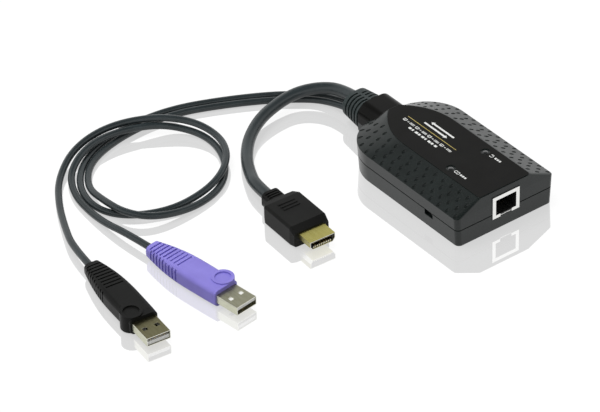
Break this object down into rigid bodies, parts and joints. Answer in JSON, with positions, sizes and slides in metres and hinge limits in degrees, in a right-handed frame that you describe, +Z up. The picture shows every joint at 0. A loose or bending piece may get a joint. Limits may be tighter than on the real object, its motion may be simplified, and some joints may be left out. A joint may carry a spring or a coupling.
{
  "type": "KVM adapter dongle",
  "caption": "Dark moulded adapter box with a network socket in front and a ribbed rear boot holding an HDMI lead and USB leads with black and purple plugs.",
  "frame": {"origin": "centre of the housing's flat base, on the surface it stands on", "axes": "-Y out of the network socket, +Y along the rear boot, +Z up, leads laid towards -X"},
  "size_m": [0.2114, 0.1743, 0.0215],
  "materials": {
    "housing_plastic": "satin",
    "boot_rubber": "satin",
    "cable_jacket": "semi-gloss",
    "plug_black": "satin",
    "plug_purple": "satin",
    "plug_nickel": "polished",
    "plug_gold": "polished",
    "contact_gold": "polished",
    "tongue_white": "satin",
    "jack_plastic": "satin",
    "jack_steel": "satin",
    "board_laminate": "satin",
    "chip_epoxy": "matte",
    "header_nylon": "satin",
    "light_acrylic": "gloss",
    "lamp_epoxy": "gloss",
    "screw_steel": "satin",
    "switch_nylon": "satin"
  },
  "bodies": {
    "housing": {"top_shell": "housing_plastic", "bottom_shell": "housing_plastic", "strain_relief": "boot_rubber", "circuit_board": "board_laminate", "video_chip": "chip_epoxy", "main_processor": "chip_epoxy", "network_transformer": "chip_epoxy", "clock_crystal": "jack_steel", "hdmi_lead_header": "header_nylon", "usb_lead_header": "header_nylon", "power_lamp": "lamp_epoxy", "link_lamp": "lamp_epoxy", "power_light_pipe": "light_acrylic", "link_light_pipe": "light_acrylic", "network_jack_shield": "jack_steel", "network_jack_insert": "jack_plastic", "network_jack_contacts": "contact_gold", "switch_frame": "jack_steel", "media_usb_lead": "cable_jacket", "keyboard_usb_lead": "cable_jacket", "hdmi_lead": "cable_jacket", "media_usb_housing": "plug_purple", "keyboard_usb_housing": "plug_black", "hdmi_plug_housing": "plug_black", "media_usb_shell": "plug_nickel", "keyboard_usb_shell": "plug_nickel", "hdmi_plug_shell": "plug_gold", "media_usb_tongue": "tongue_white", "keyboard_usb_tongue": "tongue_white", "hdmi_plug_insert": "jack_plastic", "media_usb_contacts": "contact_gold", "keyboard_usb_contacts": "contact_gold", "hdmi_plug_contacts": "contact_gold", "housing_screw_1": "screw_steel", "housing_screw_2": "screw_steel", "housing_screw_3": "screw_steel", "housing_screw_4": "screw_steel"},
    "recovery_switch": {"switch_knob": "switch_nylon"}
  },
  "joints": [
    {"name": "recovery_slide", "type": "slide", "parent": "housing", "child": "recovery_switch", "axis": [0, 1, 0], "range_m": [0, 0.002]}
  ]
}
